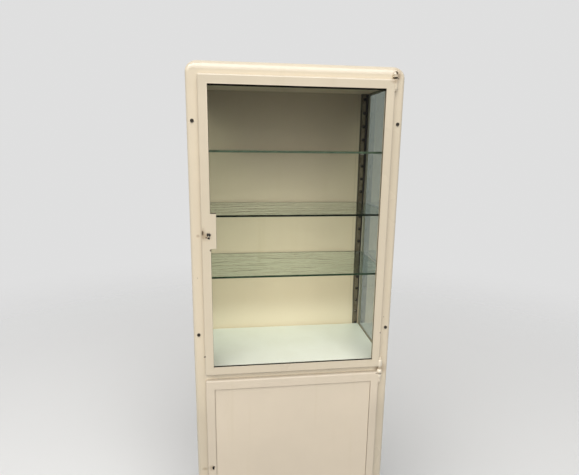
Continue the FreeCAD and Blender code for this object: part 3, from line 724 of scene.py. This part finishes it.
def moved_outline(outline, distances):
    """Clockwise outline with square corners, each side moved outward by a distance of its own."""
    count = len(outline)
    moved = []
    for index in range(count):
        before, here, after = (Vector(outline[(index + step) % count]) for step in (-1, 0, 1))
        first = (here - before).normalized() * distances[index - 1]
        second = (after - here).normalized() * distances[index]
        moved.append(here + Vector((-first.y - second.y, first.x + second.x)))
    return moved


def ring(name, outline, profile, material, body, widths):
    """Closed strip along an outline, with a width for each side and (outward distance, depth) points."""
    vertices = []
    for outward, depth in profile:
        distances = [outward * width for width in widths]
        for x, z in moved_outline(outline, distances):
            vertices.append((x, depth, z))
    corners, steps = len(outline), len(profile)
    faces = []
    for step in range(steps):
        for corner in range(corners):
            a = step * corners + corner
            b = step * corners + (corner + 1) % corners
            c = (step + 1) % steps * corners + (corner + 1) % corners
            d = (step + 1) % steps * corners + corner
            faces.append((a, b, c, d))
    return piece(name, vertices, faces, material, body)


def loop_faces(sides, loops):
    """Walls between loops of the same number of points, with a cap at each end."""
    faces = []
    for low in range(0, (loops - 1) * sides, sides):
        for index in range(sides):
            after = (index + 1) % sides
            faces.append((low + index, low + after, low + sides + after, low + sides + index))
    faces.append(tuple(range(sides)))
    faces.append(tuple(range((loops - 1) * sides, loops * sides)))
    return faces


def circle(sides):
    """Cosine and sine of evenly spaced directions."""
    angles = [2 * math.pi * index / sides for index in range(sides)]
    return [(math.cos(angle), math.sin(angle)) for angle in angles]


def lathe(name, centre, profile, material, body):
    """Turned piece about a vertical axis; the profile lists (radius, height)."""
    sides = 40
    vertices = [
        (centre[0] + radius * cosine, centre[1] + radius * sine, height)
        for radius, height in profile
        for cosine, sine in circle(sides)
    ]
    return piece(name, vertices, loop_faces(sides, len(profile)), material, body)


def opening_bead():
    """Rolled edge of the sheet round the glass."""
    radius, offset = 0.0012, 0.0008
    profile = [
        (offset + radius * cosine, DOOR_FRONT_Y + offset + radius * sine)
        for cosine, sine in circle(12)
    ]
    widths = [1.0] * len(PANE_OUTLINE)
    ring("upper_door_bead", PANE_OUTLINE, profile, finishes["upper_door"], "upper_door", widths)


def putty():
    """Dark putty bead between the sheet and the pane, wide only at the top and the bottom: there it is
    partly putty and partly painted shade.
    """
    front, back = PANE_FRONT_Y - 0.0028, PANE_FRONT_Y - 0.0001
    profile = ((0.0002, front), (-0.0026, front + 0.0008), (-0.0040, back), (0.0002, back))
    side_width, foot_width, head_width = 0.1, 0.65, 1.0
    widths = [side_width] * len(PANE_OUTLINE)
    widths[PANE_OUTLINE.index((PANE_LEFT, PANE_HEAD))] = head_width
    widths[PANE_OUTLINE.index((PANE_RIGHT, PANE_FOOT))] = foot_width
    seal = ring("pane_putty_and_shade", PANE_OUTLINE, profile, finishes["seal"], "upper_door", widths)
    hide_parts("upper_door_seal")


def ball_levels():
    """Middle and half height of the hinge ball, which hangs a little lower than the plainer solid."""
    low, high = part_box("middle_hinge_bracket")
    extra_drop = 0.0008
    foot = low[2] - extra_drop
    return (foot + high[2]) / 2, (high[2] - foot) / 2


def hinge_ball():
    """Smooth turned ball of the middle hinge, in place of the plainer solid."""
    middle, half_height = ball_levels()
    radius, neck, rings = 0.0081, 0.0046, 14
    profile = []
    for index in range(rings + 1):
        share = 2 * index / rings - 1
        turn = math.asin(math.sqrt(1 - (neck / radius) ** 2) * share)
        profile.append((radius * math.cos(turn), middle + half_height * share))
    ball = lathe("middle_hinge_ball", PIVOT, profile, finishes["lit_paint"], "cabinet")
    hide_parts("middle_hinge_bracket")


def hinge_arm():
    """Short arm that carries the ball, wider where it meets the front."""
    middle = ball_levels()[0]
    sides = 20
    # Depth, half width and half height of each section
    sections = (
        (PIVOT[1], 0.0040, 0.0030),
        (FRONT_Y - 0.0012, 0.0042, 0.0032),
        (FRONT_Y + 0.0004, 0.0060, 0.0050),
    )
    vertices = [
        (PIVOT[0] + half_width * cosine, y, middle + half_arm * sine)
        for y, half_width, half_arm in sections
        for cosine, sine in circle(sides)
    ]
    faces = loop_faces(sides, len(sections))
    arm = piece("middle_hinge_arm", vertices, faces, finishes["front"], "cabinet")


def keyhole_shade(which):
    """Dark curtain just behind a keyhole."""
    middle, level = KEYHOLES[which]
    sides, radius, slot_drop = 24, 0.0038, 0.0062
    depth, thickness = 0.0022, 0.0004
    front = DOOR_FRONT_Y + depth
    vertices = []
    for y in (front, front + thickness):
        for cosine, sine in circle(sides):
            z = level + radius * sine
            drop = slot_drop if z < level else 0.0
            vertices.append((middle + radius * cosine, y, z - drop))
    name = which + "_keyhole_curtain"
    curtain = piece(name, vertices, loop_faces(sides, 2), finishes["black"], which + "_door")


def turned_dome(name, centre, base, radius, height, material, body):
    """Rounded boss that stands on a level face."""
    steps, upright, flat_top = 7, 0.35, 0.12
    profile = [(radius, base)]
    for index in range(steps):
        angle = math.pi / 2 * index / steps
        level = upright + (1 - upright) * math.sin(angle)
        profile.append((radius * math.cos(angle), base + height * level))
    profile.append((radius * flat_top, base + height))
    return lathe(name, centre, profile, material, body)


def knuckle_sleeve(name, low, high, finish, body):
    """Rounded swelling of a door's edge where it takes the middle hinge's pin."""
    radius, ease, steps = 0.0073, 0.0030, 4
    turns = [math.pi / 2 * index / steps for index in range(steps + 1)]
    profile = [
        (radius - ease * (1 - math.sin(turn)), low + ease * (1 - math.cos(turn))) for turn in turns
    ]
    profile += [
        (radius - ease * (1 - math.cos(turn)), high - ease * (1 - math.sin(turn))) for turn in turns
    ]
    sleeve = lathe(name, PIVOT, profile, finishes[finish], body)


def sleeves():
    """The two sleeves above and below the hinge ball."""
    inset, upper_reach, lower_reach = 0.0003, 0.0220, 0.0133
    upper_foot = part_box("upper_door_knuckles")[0][2]
    lower_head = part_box("lower_door_knuckles")[1][2]
    low, high = upper_foot + inset, upper_foot + upper_reach
    knuckle_sleeve("upper_door_sleeve", low, high, "lit_paint", "upper_door")
    low, high = lower_head - lower_reach, lower_head - inset
    knuckle_sleeve("lower_door_sleeve", low, high, "knuckle", "lower_door")


def top_pin_head():
    """Brown riveted end of the top hinge's pin."""
    radius, height, overlap = 0.0042, 0.0078, 0.0070
    base = pin_high[2] - overlap
    head = turned_dome(
        "top_hinge_pin_head", PIVOT, base, radius, height, finishes["brown"], "cabinet"
    )


def top_boss():
    """Painted boss beside the pin on the top hinge arm."""
    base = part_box("top_hinge_bracket")[1][2]
    centre = (PIVOT[0] - 0.0036, PIVOT[1] - 0.0024)
    radius, height = 0.0034, 0.0056
    boss = turned_dome("top_hinge_boss", centre, base, radius, height, finishes["lit_paint"], "cabinet")


def keyhole_glint():
    """Bright spot of the lock's plate at the neck of the upper keyhole: a painted highlight."""
    x, z = KEYHOLES["upper"]
    centre = (x + 0.0004, DOOR_FRONT_Y + 0.0014)
    base = z - 0.0052
    radius, height = 0.0016, 0.0022
    glint = turned_dome(
        "upper_keyhole_glint", centre, base, radius, height, finishes["glint"], "upper_door"
    )


sleeves()
top_pin_head()
top_boss()
keyhole_glint()
opening_bead()
putty()
hinge_ball()
hinge_arm()
for which in KEYHOLES:
    keyhole_shade(which)


# Studio
DAYLIGHT = (1.0, 0.99, 0.975)
LAMP_TARGET = (0.0, -0.15, 1.1)
# Name, place, size, brightness, and whether shiny surfaces mirror it
LAMPS = (
    ("high", (-1.1, -3.44, 7.26), (9.8, 5.04), 4.6, True),
    ("middle", (-0.9, -6.24, 4.6), (11.2, 2.8), 2.15, True),
    ("low", (-0.3, -7.05, 2.26), (11.2, 2.1), 0.55, False),
    ("rear", (1.5, 6.0, 3.6), (6.0, 3.0), 0.9, False),
)
# The photograph's viewpoint: its place, its yaw, pitch and roll in degrees, its lens in millimetres
EYE = (-0.1715, -1.31453, 1.40176)
EYE_TURN = (7.48, 11.89, -0.70)
EYE_LENS = 27.54


def seen_directly(tree):
    """1 for a ray that comes from the camera, straight, mirrored or through glass; 0 after paint."""
    path = add(tree, "LightPath")
    rays = [path.outputs[kind] for kind in ("Is Camera Ray", "Is Glossy Ray", "Is Transmission Ray")]
    unlit = maths(tree, "SUBTRACT", 1.0, path.outputs["Diffuse Depth"], clamp=True)
    return maths(tree, "MULTIPLY", largest(tree, rays), unlit)


def stage_material(name, colour, lit_colour, fade_start, fade_end):
    """Pale floor that fades into the background and throws little light up at the cabinet."""
    material, tree = blank(name)
    tone = blended(tree, seen_directly(tree), lit_colour, colour)
    level = combined(tree, "MULTIPLY", place(tree), (1.0, 1.0, 0.0))
    fade = ramp(tree, length_of(tree, level), fade_start, fade_end)
    solid = add(tree, "BsdfPrincipled", {"Base Color": tone, "Roughness": 0.8})
    clear = add(tree, "BsdfTransparent")
    inputs = {0: fade, 1: solid.outputs[0], 2: clear.outputs[0]}
    finish_surface(tree, add(tree, "MixShader", inputs).outputs[0])
    return material


def floor():
    """Round floor, wider than the distance at which it has faded away."""
    mesh = bpy.data.meshes.new("floor")
    shape = bmesh.new()
    bmesh.ops.create_circle(shape, cap_ends=True, segments=96, radius=5.0)
    shape.to_mesh(mesh)
    shape.free()
    disc = bpy.data.objects.new("floor", mesh)
    bpy.context.scene.collection.objects.link(disc)
    seen_colour, lit_colour = (0.80, 0.80, 0.795), (0.30, 0.295, 0.29)
    fade_start, fade_end = 1.0, 4.2
    mesh.materials.append(stage_material("floor", seen_colour, lit_colour, fade_start, fade_end))


def world(background, ambient):
    """Even light all round, and a pale background where it is seen."""
    made_world = bpy.data.worlds.new("studio")
    bpy.context.scene.world = made_world
    made_world.use_nodes = True
    tree = made_world.node_tree
    tree.nodes.clear()
    dim = add(tree, "Background", {"Color": (0.97, 0.98, 1.0, 1.0), "Strength": ambient})
    pale = add(tree, "Background", {"Color": (1.0, 1.0, 1.0, 1.0), "Strength": background})
    mixed = add(tree, "MixShader", {0: seen_directly(tree), 1: dim.outputs[0], 2: pale.outputs[0]})
    add(tree, "OutputWorld", {"Surface": mixed.outputs[0]})


def lamp(name, place_at, size, radiance, shines):
    """Soft box of an even brightness; panes let its light in by their shadow rays alone."""
    data = bpy.data.lights.new(name, "AREA")
    data.shape = "RECTANGLE"
    data.size, data.size_y = size
    data.energy = radiance * math.pi * size[0] * size[1]
    data.color = DAYLIGHT
    made_lamp = bpy.data.objects.new(name, data)
    made_lamp.location = place_at
    aim = Vector(LAMP_TARGET) - Vector(place_at)
    made_lamp.rotation_euler = aim.to_track_quat("-Z", "Y").to_euler()
    made_lamp.visible_camera = False
    made_lamp.visible_transmission = False
    made_lamp.visible_glossy = shines
    bpy.context.scene.collection.objects.link(made_lamp)


def camera():
    """Camera 1.4 m high, close to the door and looking down."""
    data = bpy.data.cameras.new("camera")
    data.sensor_width = 36.0
    data.lens = EYE_LENS
    data.clip_start = 0.05
    yaw, pitch, roll = (math.radians(angle) for angle in EYE_TURN)
    forward = Vector(
        (math.sin(yaw) * math.cos(pitch), math.cos(yaw) * math.cos(pitch), -math.sin(pitch))
    )
    right = Vector((math.cos(yaw), -math.sin(yaw), 0.0))
    down = forward.cross(right)
    turned_right = math.cos(roll) * right + math.sin(roll) * down
    turned_down = -math.sin(roll) * right + math.cos(roll) * down
    axes = Matrix((turned_right, -turned_down, -forward)).transposed()
    eye = bpy.data.objects.new("camera", data)
    eye.matrix_world = Matrix.Translation(EYE) @ axes.to_4x4()
    bpy.context.scene.collection.objects.link(eye)
    bpy.context.scene.camera = eye


bpy.context.scene.view_settings.view_transform = "Standard"
floor()
world(background=0.74, ambient=0.08)
for name, place_at, size, radiance, shines in LAMPS:
    lamp(name, place_at, size, radiance, shines)
camera()
